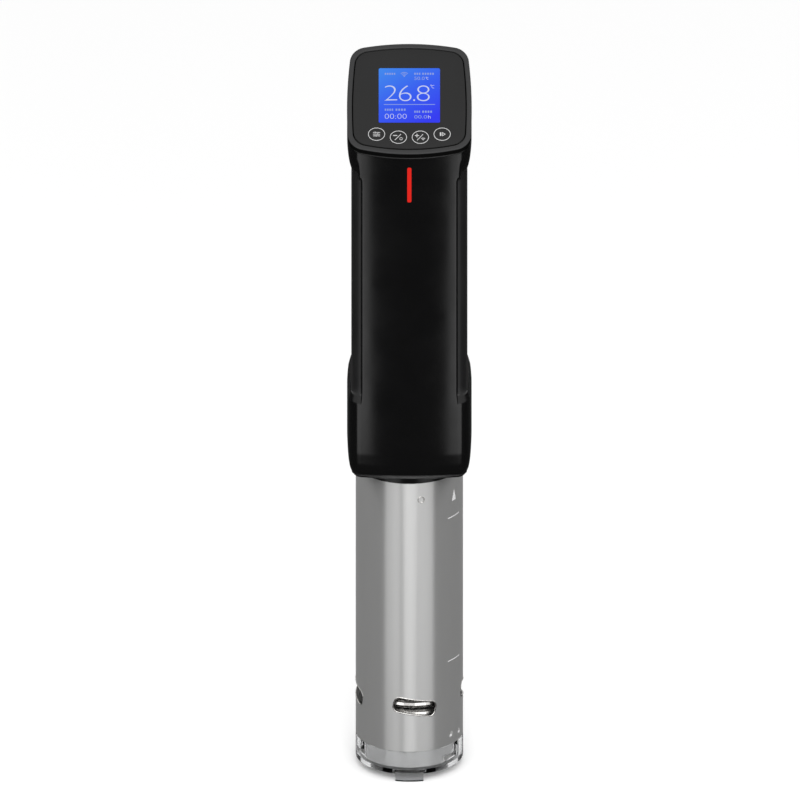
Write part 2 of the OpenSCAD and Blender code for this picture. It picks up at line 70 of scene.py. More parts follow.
# Side recesses
GRIP_IN = 2.0
GRIP_HEIGHTS = [207.0, 214.0, 332.6, 336.0, 339.0, 341.0]
GRIP_INSETS = [0.0, 1.0, 1.0, 0.45, 0.14, 0.0]
PAD_Z0, PAD_Z1 = 212.5, 330.0
# At the front corner the recess ends within a few millimetres, and its end rises across the corner
GRIP_FRONT_Z0, GRIP_FRONT_Z1 = 328.8, 331.6
GRIP_TURN_X0, GRIP_TURN_X1 = 24.6, 27.5
PAD_RISE = 3.4
PAD_BEND_Z = 318.0
STEP_X0, STEP_X1 = 23.95, 24.4

# Head: the panel's slope, its lower edge and length, and the rounded back
SLOPE = math.radians(40.0)
PANEL_Z = 345.4
PANEL_LEN = 61.5
PANEL_BOW_V = 25.0
PANEL_SIDE_R, PANEL_TOP_R, PANEL_LOW_R, PANEL_CORNER_R = 250.0, 128.0, 108.0, 8.6
BEZEL_T = 1.6
BACK_R, BACK_Z = 35.0, 356.2
HEAD_Z = GRIP_HEIGHTS[-1]
HEAD_ROUND = 0.2
# The visible casing lies this much inside the CAD casing
SKIN = 0.06

# Sleeve
TUBE_R = 26.85
SLOT_W, SLOT_H, SLOT_Z = 21.4, 8.2, 40.4
SLOT_R, SLOT_TILT, SLOT_AZ = 2.8, math.radians(-9.8), math.radians(6.0)

# Display, in the panel's plane: width, height up the slope and its lower edge
LCD_W, LCD_H, LCD_V = 30.6, 30.2, 17.6
KEYS = [(-16.4, 11.1), (-5.5, 9.4), (5.5, 9.4), (16.4, 11.1)]


# ---------------------------------------------------------------- mesh helpers

def mesh_piece(name, points, faces, material, smooth=True, angle=None):
    """A mesh object from points in millimetres."""
    mesh = bpy.data.meshes.new(name)
    mesh.from_pydata((np.asarray(points, float) * MM).tolist(), [], [tuple(f) for f in faces])
    mesh.validate()
    mesh.update()
    for poly in mesh.polygons:
        poly.use_smooth = smooth
    obj = bpy.data.objects.new(name, mesh)
    bpy.context.scene.collection.objects.link(obj)
    obj.data.materials.append(material)
    if angle is not None:
        mesh.set_sharp_from_angle(angle=math.radians(angle))
    return obj


def grid_faces(rows, cols, wrap_rows=False, wrap_cols=False, flip=False):
    """Quads over a rows x cols grid of points in row order."""
    faces = []
    for i in range(rows if wrap_rows else rows - 1):
        a, b = i * cols, (i + 1) % rows * cols
        for j in range(cols if wrap_cols else cols - 1):
            k = (j + 1) % cols
            quad = (a + j, a + k, b + k, b + j)
            faces.append(quad[::-1] if flip else quad)
    return faces


def thicken(obj, thickness):
    """Gives an open skin a wall on its inner side."""
    wall = obj.modifiers.new("wall", "SOLIDIFY")
    wall.thickness = thickness * MM
    wall.offset = -1


def finish_piece(obj, body):
    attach(obj, body)
    return obj


# ---------------------------------------------------------------- outlines

def meet(c1, r1, c2, r2):
    """Where two circles cross, on the positive side."""
    d = np.linalg.norm(c2 - c1)
    u = (c2 - c1) / d
    a = (r1 * r1 - r2 * r2 + d * d) / (2 * d)
    h = math.sqrt(max(0.0, r1 * r1 - a * a))
    side = np.array([-u[1], u[0]])
    p, q = c1 + a * u + h * side, c1 + a * u - h * side
    return p if p.sum() > q.sum() else q


def quarter(w, h, r_end, r_side, r_corner, counts, end_x=None):
    """Points and outward normals of a quarter of a bowed rounded rectangle, from side to end middle."""
    end, side = np.array([0.0, h - r_end]), np.array([w - r_side, 0.0])
    mid = meet(end, r_end - r_corner, side, r_side - r_corner)
    a_side = math.atan2(*(mid - side)[::-1])
    a_end = math.atan2(*(mid - end)[::-1])
    angles = [(side, r_side, t) for t in np.linspace(0.0, a_side, counts[0], endpoint=False)]
    if end_x is None:
        angles += [(mid, r_corner, t) for t in np.linspace(a_side, a_end, counts[1], endpoint=False)]
        angles += [(end, r_end, t) for t in np.linspace(a_end, math.pi / 2, counts[2])]
    else:
        first = math.acos((end_x[0] - mid[0]) / r_corner)
        angles += [(mid, r_corner, t) for t in np.linspace(a_side, first, counts[1], endpoint=False)]
        limit = r_end * math.cos(a_end)
        angles += [(mid, r_corner, math.acos((x - mid[0]) / r_corner)) if x > limit
                   else (end, r_end, math.acos(x / r_end)) for x in end_x]
    points = np.array([c + r * np.array([math.cos(t), math.sin(t)]) for c, r, t in angles])
    normals = np.array([[math.cos(t), math.sin(t)] for _, _, t in angles])
    return points, normals


def mirrored(points, normals, sx, sy):
    flip = np.array([sx, sy], float)
    return points * flip, normals * flip


def joined(parts):
    return np.concatenate([p for p, _ in parts]), np.concatenate([n for _, n in parts])


# Stations across the front, close together where the side recess starts
FRONT_X = np.concatenate([
    [24.45, 24.38, 24.3, 24.22, 24.14, 24.07, 24.0, 23.9, 23.78, 23.64, 23.48, 23.3, 23.1, 22.8],
    np.linspace(22.2, 0.0, 24)])


def casing_half(front):
    """Plan outline of the front or rear half of the casing, from one side middle to the other."""
    pts, nrm = quarter(CASE_HW, CASE_HD, BOW_R, SIDE_R, CORNER_R, (16, 26, 0), FRONT_X)
    sy = -1 if front else 1
    first = mirrored(pts, nrm, 1, sy)
    p, n = mirrored(pts, nrm, -1, sy)
    return joined([first, (p[::-1][1:], n[::-1][1:])])


def panel_outline(inset, counts=(18, 20, 36)):
    """Closed outline of the panel inset by a distance, across and up the slope, with normals."""
    upper = quarter(CASE_HW - inset, PANEL_LEN - PANEL_BOW_V - inset, PANEL_TOP_R - inset,
                    PANEL_SIDE_R - inset, PANEL_CORNER_R - inset * 0.45, counts)
    lower = quarter(CASE_HW - inset, PANEL_BOW_V - inset, PANEL_LOW_R - inset,
                    PANEL_SIDE_R - inset, PANEL_CORNER_R - inset * 0.45, counts)
    ul = mirrored(*upper, -1, 1)
    ll = mirrored(*lower, -1, -1)
    lr = mirrored(*lower, 1, -1)
    pts, nrm = joined([upper, (ul[0][::-1][1:], ul[1][::-1][1:]), (ll[0][1:], ll[1][1:]),
                       (lr[0][::-1][1:-1], lr[1][::-1][1:-1])])
    return pts + np.array([0.0, PANEL_BOW_V]), nrm


def on_panel(x, v, w):
    """A point across, up the slope and out of the panel, in the part's frame."""
    return np.stack([x + 0 * v, -CASE_HD + v * math.cos(SLOPE) - w * math.sin(SLOPE),
                     PANEL_Z + v * math.sin(SLOPE) + w * math.cos(SLOPE)], -1)


# ---------------------------------------------------------------- casing

def smooth_ramp(x, x0, x1):
    t = np.clip((x - x0) / (x1 - x0), 0.0, 1.0)
    return t * t * (3 - 2 * t)


def softened(z, heights, values, reach=0.9):
    """Straight ramps between heights with their corners rounded off."""
    steps = np.linspace(-reach, reach, 9)
    return np.mean([np.interp(z + s, heights, values) for s in steps], axis=0)


def round_corner(across):
    """0 at the front end of the recess, 1 where it has turned to the side."""
    return smooth_ramp(across, GRIP_TURN_X0, GRIP_TURN_X1)


def recess_ramp(across, z):
    """How far the recess is sunk, from 0 to 1: it ends steeply at the front and gently at the side."""
    side = softened(z, GRIP_HEIGHTS, GRIP_INSETS)
    front = np.where(z > PAD_BEND_Z, 1 - smooth_ramp(z, GRIP_FRONT_Z0, GRIP_FRONT_Z1), side)
    share = round_corner(across)
    return front * (1 - share) + side * share


def recess_depth(x, z):
    """How deep the side recess lies below the casing's surface."""
    across = np.abs(x)
    fall = 1 - np.sqrt(1 - np.clip(across - 23.0, 0.0, 1.0) ** 2 * 0.92)
    step = 0.32 * fall + 0.70 * smooth_ramp(across, STEP_X0, STEP_X1)
    pad_top = PAD_Z1 + PAD_RISE * round_corner(across)
    under_pad = 0.4 * smooth_ramp(z, PAD_Z0 - 1, PAD_Z0 + 1) * (1 - smooth_ramp(z - pad_top, -1, 1))
    room = recess_ramp(across, z) + under_pad * smooth_ramp(across, 24.1, STEP_X1)
    return GRIP_IN * room * np.minimum(step, 1.0)


def foot_inset(z):
    """How far the casing draws in above its lower lip."""
    return softened(z, [LIP_Z + h for h in FOOT_HEIGHTS], FOOT_INSETS, 0.8)


def wall_points(outline, normals, z):
    """One row of the casing's wall at height z."""
    inset = foot_inset(np.full(len(outline), z)) + recess_depth(outline[:, 0], np.full(len(outline), z))
    xy = outline - normals * (inset + SKIN)[:, None]
    return np.column_stack([xy, np.full(len(outline), z)])


def outline_distance(xy, w, h, r_end, r_side, r_corner):
    """Rough distance outside a bowed rounded rectangle, negative inside."""
    x, y = np.abs(xy[..., 0]), np.abs(xy[..., 1])
    end, side = np.array([0.0, h - r_end]), np.array([w - r_side, 0.0])
    mid = meet(end, r_end - r_corner, side, r_side - r_corner)
    a_side = math.atan2(*(mid - side)[::-1])
    a_end = math.atan2(*(mid - end)[::-1])
    d_side = np.hypot(x - side[0], y) - r_side
    d_end = np.hypot(x, y - end[1]) - r_end
    d_mid = np.hypot(x - mid[0], y - mid[1]) - r_corner
    ang_side = np.arctan2(y, x - side[0])
    ang_end = np.arctan2(y - end[1], x)
    return np.where(ang_side <= a_side, d_side, np.where(ang_end >= a_end, d_end, d_mid))


def head_distance(p):
    """How far a point is outside the head's rounded form, below the panel's frame."""
    x, y, z = p[..., 0], p[..., 1], p[..., 2]
    plan = outline_distance(p[..., :2], CASE_HW, CASE_HD, BOW_R, SIDE_R, CORNER_R) + SKIN
    slope = -(y + CASE_HD) * math.sin(SLOPE) + (z - PANEL_Z) * math.cos(SLOPE) + BEZEL_T
    under_frame = 0.12 * smooth_ramp(slope, -0.6, -0.2)
    plan = plan + under_frame
    c = CASE_HD - BACK_R
    back = np.where((z > BACK_Z) & (y > c), np.hypot(y - c, z - BACK_Z) - BACK_R, y - CASE_HD)
    v = (y + CASE_HD) * math.cos(SLOPE) + (z - PANEL_Z) * math.sin(SLOPE) - PANEL_BOW_V
    top = np.where(v > 0, outline_distance(np.stack([x, v], -1), CASE_HW, PANEL_LEN - PANEL_BOW_V,
                                           PANEL_TOP_R, PANEL_SIDE_R, PANEL_CORNER_R), -20.0)
    top = top + SKIN + under_frame
    f = np.stack([plan, slope, back, top], -1) + HEAD_ROUND
    return np.minimum(f.max(-1), 0) + np.linalg.norm(np.maximum(f, 0), axis=-1) - HEAD_ROUND


def head_surface(start, direction):
    """Where rays from inside the head leave it."""
    near, far = np.zeros(len(direction)), np.full(len(direction), 70.0)
    for _ in range(34):
        mid = (near + far) / 2
        inside = head_distance(start + direction * mid[:, None]) < 0
        near, far = np.where(inside, mid, near), np.where(inside, far, mid)
    return start + direction * near[:, None]


def casing_rows():
    """Heights of the casing's rows, close together where the form turns."""
    pieces = [np.linspace(GROOVE_Z + 0.4, LIP_Z + 16, 26), np.linspace(LIP_Z + 17, 205, 12),
              np.linspace(205.6, 216, 30), np.linspace(217, 320, 30), np.linspace(321, 327, 6),
              np.linspace(327.4, HEAD_Z, 50)]
    return np.concatenate(pieces)


def casing_shell(name, front, material):
    outline, normals = casing_half(front)
    count = len(outline)
    rows = [wall_points(outline, normals, z) for z in casing_rows()]
    base = rows[0].copy()
    base[:, :2] -= normals * 0.9
    rows.insert(0, base)
    # Head rows fan out from the wall's top to just inside the panel frame's outline
    rim, _ = panel_outline(1.6, (60, 60, 90))
    rim = on_panel(rim[:, 0], rim[:, 1], np.full(len(rim), -BEZEL_T))
    centre = np.array([0.0, 2.0, HEAD_Z + 2.0])
    top = rows[-1]
    turn = np.arctan2(top[:, 1] - centre[1], top[:, 0])
    rim_turn = np.arctan2(rim[:, 1] - centre[1], rim[:, 0])
    order = np.argsort(rim_turn)
    ends = np.stack([np.interp(turn, rim_turn[order], rim[order, k], period=2 * math.pi)
                     for k in range(3)], -1)
    a, b = top - centre, ends - centre
    a /= np.linalg.norm(a, axis=1)[:, None]
    b /= np.linalg.norm(b, axis=1)[:, None]
    spread = np.arccos(np.clip((a * b).sum(1), -1, 1))
    for t in np.linspace(0, 1, 90)[1:]:
        toward_a, toward_b = np.sin((1 - t) * spread), np.sin(t * spread)
        d = (toward_a / np.sin(spread))[:, None] * a + (toward_b / np.sin(spread))[:, None] * b
        rows.append(head_surface(centre, d))
    points = np.concatenate(rows)
    if front:
        points[:, 1] = np.minimum(points[:, 1], -0.06)
    else:
        points[:, 1] = np.maximum(points[:, 1], 0.06)
    obj = mesh_piece(name, points, grid_faces(len(rows), count, flip=front), material)
    thicken(obj, 1.2)
    return finish_piece(obj, "housing")


def side_pad(name, sx, material):
    """Soft pad in one side recess, round the front corner, the side and the rear corner."""
    pts, nrm = quarter(CASE_HW, CASE_HD, BOW_R, SIDE_R, CORNER_R, (26, 30, 0), [24.5, 24.42, 24.34, 24.26])
    front = mirrored(pts, nrm, sx, -1)
    rear = mirrored(pts, nrm, sx, 1)
    outline, normals = joined([(front[0][::-1], front[1][::-1]), (rear[0][1:], rear[1][1:])])
    run = np.concatenate([[0], np.cumsum(np.linalg.norm(np.diff(outline, axis=0), axis=1))])
    z0, z1 = PAD_Z0 - 1, PAD_Z1 + 1
    edge = np.array([0, 0.05, 0.12, 0.22, 0.34, 0.48, 0.64, 0.8, 1.0])
    heights = np.concatenate([z0 + edge, np.linspace(z0 + 2, z1 - 10, 60), z1 - 9.5 + np.linspace(0, 8, 17),
                              z1 - edge[::-1]])
    rows = []
    for z in heights:
        margin = np.minimum(run, run[-1] - run) + 0.02
        lip = np.clip(1 - margin / 0.8, 0, 1)
        drop = 0.75 * (1 - np.sqrt(np.clip(1 - lip ** 2, 0, 1)))
        across = np.abs(outline[:, 0])
        rise = np.clip((z - PAD_BEND_Z) / (PAD_Z1 - PAD_BEND_Z), 0.0, None)
        level = z + PAD_RISE * round_corner(across) * rise
        depth = GRIP_IN * recess_ramp(across, level) + SKIN + 0.1
        xy = outline - normals * (depth + drop)[:, None]
        rows.append(np.column_stack([xy, level]))
    obj = mesh_piece(name, np.concatenate(rows), grid_faces(len(rows), len(outline), flip=sx < 0), material)
    thicken(obj, 0.6)
    return finish_piece(obj, "housing")


def light_bar(material):
    """Lit bar set in the front of the casing, with rounded ends."""
    lo, hi = corner("status_light_bar", False), corner("status_light_bar", True)
    hw, r = (hi[0] - lo[0]) / 2, 0.75
    pts = []
    for sx, cz, a0 in ((1, hi[2] - r, 0), (-1, hi[2] - r, 90), (-1, lo[2] + r, 180), (1, lo[2] + r, 270)):
        for t in np.radians(np.linspace(a0, a0 + 90, 7)):
            pts.append([sx * (hw - r) + r * math.cos(t), cz + r * math.sin(t)])
    pts = np.array(pts)
    mid = pts.mean(0)
    rows = []
    for grow, y in ((0.0, 1.2), (0.0, 0.05), (-0.08, 0.01), (-0.5, 0.0)):
        p = pts + (mid - pts) / np.linalg.norm(mid - pts, axis=1)[:, None] * -grow * np.array([1.0, 0.3])
        rows.append(np.column_stack([p[:, 0], lo[1] + y + 0 * p[:, 0] + p[:, 0] ** 2 / (2 * BOW_R), p[:, 1]]))
    n = len(pts)
    points = np.concatenate(rows)
    faces = grid_faces(len(rows), n, wrap_cols=True, flip=True)
    faces += [tuple(range(n)), tuple(range(3 * n, 4 * n))[::-1]]
    obj = mesh_piece("light_bar", points, faces, material, angle=50)
    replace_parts(obj, "status_light_bar")
    return finish_piece(obj, "housing")


def casing_lip(material):
    """The closing plate under the casing, drawn in to the round collar."""
    front, rear = casing_half(True), casing_half(False)
    outline, normals = joined([front, (rear[0][::-1][1:-1], rear[1][::-1][1:-1])])
    profile = [(GROOVE_Z + 0.2, 2.5), (GROOVE_Z - 0.02, 2.4), (GROOVE_Z - 0.02, 1.95), (GROOVE_Z - 0.1, 1.86),
               (GROOVE_Z - 0.3, 1.82), (LIP_Z + 1.0, 2.4), (LIP_Z + 0.45, 2.8), (LIP_Z + 0.2, 3.05),
               (LIP_Z + 0.06, 3.4), (LIP_Z, 3.8)]
    rows = [np.column_stack([outline - normals * d, np.full(len(outline), z)]) for z, d in profile]
    turn = np.arctan2(outline[:, 1], outline[:, 0])
    inner = corner("collar_ring", True)[0] - 0.2
    for z in (LIP_Z, GROOVE_Z + 0.2):
        rows.append(np.column_stack([inner * np.cos(turn), inner * np.sin(turn), np.full(len(turn), z)]))
    faces = grid_faces(len(rows), len(outline), wrap_rows=True, wrap_cols=True)
    obj = mesh_piece("casing_lip", np.concatenate(rows), faces, material, angle=50)
    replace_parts(obj, "casing_base")
    return finish_piece(obj, "housing")


# ---------------------------------------------------------------- panel

def panel_ring(name, profile, material, angle, plumb=False):
    """A closed ring round the panel through points of (inset, level out of the panel).

    A plumb ring hangs straight down along the panel's lower half, flush with the casing's front.
    """
    rows = []
    for inset, w in profile:
        pts, _ = panel_outline(inset)
        drop = w * math.tan(SLOPE) * (1 - smooth_ramp(pts[:, 1], 6.0, 26.0)) if plumb else 0.0
        rows.append(on_panel(pts[:, 0], pts[:, 1] + drop, np.full(len(pts), w)))
    faces = grid_faces(len(rows), len(rows[0]), wrap_rows=True, wrap_cols=True, flip=True)
    return mesh_piece(name, np.concatenate(rows), faces, material, angle=angle)


def panel_frame(material):
    """Raised frame round the control panel with a softly rounded face, and under it a wall in matte black
    without gloss, a painted shadow of the gap under the frame.
    """
    wall = [(1.2, -BEZEL_T), (0.0, -BEZEL_T), (0.0, -0.5), (0.4, -0.48), (1.2, -0.5)]
    # The wall under the frame is matte black without gloss: a painted shadow of the gap between frame and
    # casing
    skirt = panel_ring("frame_shadow_wall", wall, PAINTED_SHADOW, 60, plumb=True)
    finish_piece(skirt, "housing")
    profile = [(1.2, -0.6), (0.3, -0.6), (0.02, -0.58), (0.03, -0.45), (0.13, -0.27),
               (0.3, -0.1), (0.52, -0.02), (0.8, 0.0), (1.4, 0.0), (1.95, -0.02), (2.25, -0.1), (2.42, -0.26),
               (2.52, -0.5), (2.58, -0.9), (2.6, -BEZEL_T)]
    obj = panel_ring("panel_frame", profile, material, 60)
    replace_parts(obj, "panel_bezel")
    return finish_piece(obj, "housing")


def panel_face(material):
    """The smooth touch panel, with a window for the display."""
    edge = [(3.05, -1.2), (3.05, -0.3), (3.1, -0.16), (3.25, -0.1)]
    rows = []
    for inset, w in edge:
        pts, _ = panel_outline(inset)
        rows.append(on_panel(pts[:, 0], pts[:, 1], np.full(len(pts), w)))
    outer = panel_outline(3.25)[0]
    centre = np.array([0.0, LCD_V + LCD_H / 2])
    rel = outer - centre
    turn = np.arctan2(rel[:, 1], rel[:, 0])
    hole = rounded_rect_ray(turn, LCD_W / 2 + 0.05, LCD_H / 2 + 0.05, 0.5)
    for t in (0.35, 0.7, 1.0):
        p = centre + rel * (1 - t) + hole * t
        rows.append(on_panel(p[:, 0], p[:, 1], np.full(len(p), -0.1)))
    p = centre + hole
    rows.append(on_panel(p[:, 0], p[:, 1], np.full(len(p), -1.2)))
    faces = grid_faces(len(rows), len(rows[0]), wrap_rows=True, wrap_cols=True, flip=True)
    obj = mesh_piece("panel_face", np.concatenate(rows), faces, material, angle=40)
    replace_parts(obj, "control_panel")
    return finish_piece(obj, "housing")


def rounded_rect_ray(turn, hw, hh, r):
    """Where rays at these turns cross a rounded rectangle."""
    d = np.stack([np.cos(turn), np.sin(turn)], -1)
    near, far = np.zeros(len(turn)), np.full(len(turn), hw + hh)
    for _ in range(40):
        mid = (near + far) / 2
        q = np.abs(d * mid[:, None]) - np.array([hw - r, hh - r])
        f = np.linalg.norm(np.maximum(q, 0), axis=1) + np.minimum(q.max(1), 0) - r
        near, far = np.where(f < 0, mid, near), np.where(f < 0, far, mid)
    return d * near[:, None]


def stroke_outline(path, width):
    """Ribbon quads along a path of points, as one list of quads."""
    path = np.asarray(path, float)
    quads = []
    for a, b in zip(path[:-1], path[1:]):
        t = (b - a) / np.linalg.norm(b - a)
        n = np.array([-t[1], t[0]]) * width / 2
        e = t * width * 0.25
        quads.append([a - n - e, b - n + e, b + n + e, a + n - e])
    return quads


def thin_plates(name, outlines, place, levels, material):
    """Many thin closed plates in one mesh. place puts points of an outline at a level on the object."""
    points, faces = [], []
    for q in outlines:
        q = np.asarray(q, float)
        area = np.sum(q[:, 0] * np.roll(q[:, 1], -1) - np.roll(q[:, 0], -1) * q[:, 1])
        if area < 0:
            q = q[::-1]
        n, base = len(q), len(points)
        for level in levels:
            points.extend(place(q, level).tolist())
        faces.append(tuple(base + i for i in range(n))[::-1])
        faces.append(tuple(base + n + i for i in range(n)))
        faces += [(base + i, base + (i + 1) % n, base + n + (i + 1) % n, base + n + i) for i in range(n)]
    obj = mesh_piece(name, points, faces, material, smooth=False)
    return finish_piece(obj, "housing")


def plates(name, quads, w0, w1, material):
    """Thin plates on the panel."""
    return thin_plates(name, quads, lambda q, w: on_panel(q[:, 0], q[:, 1], np.full(len(q), w)),
                       (w0, w1), material)


def arc_path(cx, cy, rx, ry, a0, a1, n):
    t = np.radians(np.linspace(a0, a1, n))
    return np.stack([cx + rx * np.cos(t), cy + ry * np.sin(t)], -1)


def ring_piece(name, cx, cv, rx, rv, width, w0, w1, material, n=72):
    """A flat closed elliptical ring on the panel."""
    t = np.linspace(0, 2 * math.pi, n, endpoint=False)
    rows = []
    for k, w in ((-1, w0), (1, w0), (1, w1), (-1, w1)):
        rows.append(on_panel(cx + (rx + k * width / 2) * np.cos(t), cv + (rv + k * width / 2) * np.sin(t),
                             np.full(n, w)))
    obj = mesh_piece(name, np.concatenate(rows),
                     grid_faces(4, n, wrap_rows=True, wrap_cols=True, flip=False), material, smooth=False)
    return finish_piece(obj, "housing")


def lcd_point(fx, fy):
    """A point of the display from fractions of its width and height, from its top left corner."""
    return np.array([(fx - 0.5) * LCD_W, LCD_V + (1 - fy) * LCD_H])


def figures(name, text, x0, x1, y0, y1, weight, material):
    """Figures fitted to a box of the display, given as fractions."""
    curve = bpy.data.curves.new(name, "FONT")
    curve.body = text
    curve.size = 1.0
    curve.offset = weight
    curve.extrude = 0.01
    temp = bpy.data.objects.new(name + "_text", curve)
    bpy.context.scene.collection.objects.link(temp)
    bpy.context.view_layer.update()
    mesh = bpy.data.meshes.new_from_object(temp)
    bpy.data.objects.remove(temp)
    co = np.array([v.co for v in mesh.vertices])
    lo, hi = co.min(0), co.max(0)
    f = (co - lo) / (hi - lo)
    a, b = lcd_point(x0, y1), lcd_point(x1, y0)
    placed = on_panel(a[0] + f[:, 0] * (b[0] - a[0]), a[1] + f[:, 1] * (b[1] - a[1]), -0.115 + 0.05 * f[:, 2])
    for v, p in zip(mesh.vertices, placed):
        v.co = Vector(p * MM)
    mesh.materials.clear()
    mesh.materials.append(material)
    obj = bpy.data.objects.new(name, mesh)
    bpy.context.scene.collection.objects.link(obj)
    return finish_piece(obj, "housing")


# ---------------------------------------------------------------- sleeve marks

def on_sleeve(arc, z, r=TUBE_R):
    """A point on the sleeve: arc is the distance round from the front, to the right."""
    a = np.asarray(arc, float) / TUBE_R
    return np.stack([r * np.sin(a), -r * np.cos(a), np.asarray(z, float) + 0 * a], -1)


def arc_of(x):
    """Distance round the sleeve of a point seen at x across from the front."""
    return TUBE_R * math.asin(x / TUBE_R)


def sleeve_marks(name, quads, material):
    """Thin plates wrapped on the sleeve, given as outlines in arc length and height."""
    return thin_plates(name, quads, lambda q, r: on_sleeve(q[:, 0], q[:, 1], r),
                       (TUBE_R - 0.05, TUBE_R + 0.03), material)


def wrapped_bead(name, loop, radius, level, material, sides=10):
    """A round bead along a closed loop of arc length and height points on the sleeve."""
    loop = np.asarray(loop, float)
    n = len(loop)
    t = np.roll(loop, -1, 0) - np.roll(loop, 1, 0)
    t /= np.linalg.norm(t, axis=1)[:, None]
    out = np.stack([t[:, 1], -t[:, 0]], -1)
    rows = []
    for k in range(sides):
        a = 2 * math.pi * k / sides
        p = loop + out * radius * math.cos(a)
        ring = on_sleeve(p[:, 0], p[:, 1])
        radial = ring.copy()
        radial[:, 2] = 0
        radial /= np.linalg.norm(radial, axis=1)[:, None]
        rows.append(ring + radial * (level + radius * math.sin(a)))
    obj = mesh_piece(name, np.concatenate(rows),
                     grid_faces(sides, n, wrap_rows=True, wrap_cols=True), material)
    return finish_piece(obj, "housing")


def slot_loop(k):
    """The rim of one water slot, in arc length and height."""
    hw, hh, r = SLOT_W / 2, SLOT_H / 2, SLOT_R
    pts = []
    for sx, sy, a0 in ((1, 1, 0), (-1, 1, 90), (-1, -1, 180), (1, -1, 270)):
        for t in np.radians(np.linspace(a0, a0 + 90, 9)):
            pts.append([sx * (hw - r) + r * math.cos(t), sy * (hh - r) + r * math.sin(t)])
    pts = np.array(pts)
    c, s = math.cos(SLOT_TILT), math.sin(SLOT_TILT)
    pts = pts @ np.array([[c, s], [-s, c]])
    dense = []
    for a, b in zip(pts, np.roll(pts, -1, 0)):
        steps = max(1, int(np.linalg.norm(b - a) / 0.6))
        dense += [a + (b - a) * i / steps for i in range(steps)]
    pts = np.array(dense)
    turn = SLOT_AZ + math.pi / 2 * k
    flat = np.clip(pts[:, 0] / TUBE_R, -0.99, 0.99)
    return np.column_stack([TUBE_R * (np.arcsin(flat) + turn), SLOT_Z + pts[:, 1]])


# ---------------------------------------------------------------- materials

def new_material(name):
    mat = bpy.data.materials.new(name)
    mat.use_nodes = True
    nodes = mat.node_tree.nodes
    nodes.clear()
    out = nodes.new("ShaderNodeOutputMaterial")
    shader = nodes.new("ShaderNodeBsdfPrincipled")
    mat.node_tree.links.new(shader.outputs[0], out.inputs[0])
    return mat, shader


def coords(mat, scale=(1, 1, 1)):
    nodes, links = mat.node_tree.nodes, mat.node_tree.links
    where = nodes.new("ShaderNodeTexCoord")
    mapping = nodes.new("ShaderNodeMapping")
    mapping.inputs["Scale"].default_value = scale
    links.new(where.outputs["Object"], mapping.inputs["Vector"])
    return mapping.outputs[0]


def noise(mat, vector, scale, detail=3.0, rough=0.5):
    node = mat.node_tree.nodes.new("ShaderNodeTexNoise")
    node.inputs["Scale"].default_value = scale
    node.inputs["Detail"].default_value = detail
    node.inputs["Roughness"].default_value = rough
    mat.node_tree.links.new(vector, node.inputs["Vector"])
    return node.outputs[0]


def spread(mat, value, low, high):
    """Maps a 0 to 1 pattern to low..high."""
    node = mat.node_tree.nodes.new("ShaderNodeMapRange")
    node.inputs["From Min"].default_value = 0.3
    node.inputs["From Max"].default_value = 0.7
    node.inputs["To Min"].default_value = low
    node.inputs["To Max"].default_value = high
    mat.node_tree.links.new(value, node.inputs["Value"])
    return node.outputs[0]


def two_tone(mat, value, a, b):
    node = mat.node_tree.nodes.new("ShaderNodeMix")
    node.data_type = "RGBA"
    node.inputs[6].default_value = (*a, 1)
    node.inputs[7].default_value = (*b, 1)
    mat.node_tree.links.new(value, node.inputs[0])
    return node.outputs[2]


def bump(mat, shader, value, strength, distance):
    node = mat.node_tree.nodes.new("ShaderNodeBump")
    node.inputs["Strength"].default_value = strength
    node.inputs["Distance"].default_value = distance
    mat.node_tree.links.new(value, node.inputs["Height"])
    mat.node_tree.links.new(node.outputs[0], shader.inputs["Normal"])


def plastic(name, dark, light, rough, specular, grain=1800.0, relief=0.15):
    """Moulded plastic: fine grain in the relief and slight unevenness of tone and gloss."""
    mat, shader = new_material(name)
    links = mat.node_tree.links
    vec = coords(mat)
    wide = noise(mat, vec, 60.0, 4.0)
    fine = noise(mat, vec, grain, 2.0)
    links.new(two_tone(mat, wide, dark, light), shader.inputs["Base Color"])
    links.new(spread(mat, wide, rough - 0.03, rough + 0.03), shader.inputs["Roughness"])
    shader.inputs["Specular IOR Level"].default_value = specular
    bump(mat, shader, fine, relief, 0.00005)
    return mat


def metal(name, dark, light, rough, brush=None, anisotropy=0.0, turn=0.0, relief=0.1):
    """Metal with fine brush lines where brush gives the pattern's stretch."""
    mat, shader = new_material(name)
    links = mat.node_tree.links
    vec = coords(mat, brush or (1, 1, 1))
    lines = noise(mat, vec, 900.0, 4.0, 0.6)
    links.new(two_tone(mat, lines, dark, light), shader.inputs["Base Color"])
    links.new(spread(mat, lines, rough - 0.02, rough + 0.02), shader.inputs["Roughness"])
    shader.inputs["Metallic"].default_value = 1.0
    shader.inputs["Anisotropic"].default_value = anisotropy
    shader.inputs["Anisotropic Rotation"].default_value = turn
    if anisotropy:
        tangent = mat.node_tree.nodes.new("ShaderNodeTangent")
        tangent.direction_type = "RADIAL"
        tangent.axis = "Z"
        links.new(tangent.outputs[0], shader.inputs["Tangent"])
    bump(mat, shader, lines, relief, 0.00002)
    return mat


def lit(name, colour, strength, other):
    """A lit surface that drifts slightly between two colours."""
    mat, shader = new_material(name)
    links = mat.node_tree.links
    cloud = noise(mat, coords(mat), 300.0, 2.0)
    tone = two_tone(mat, cloud, colour, other)
    shader.inputs["Base Color"].default_value = (0.006, 0.006, 0.006, 1)
    shader.inputs["Specular IOR Level"].default_value = 0.1
    links.new(tone, shader.inputs["Emission Color"])
    shader.inputs["Emission Strength"].default_value = strength
    shader.inputs["Roughness"].default_value = 0.35
    return mat


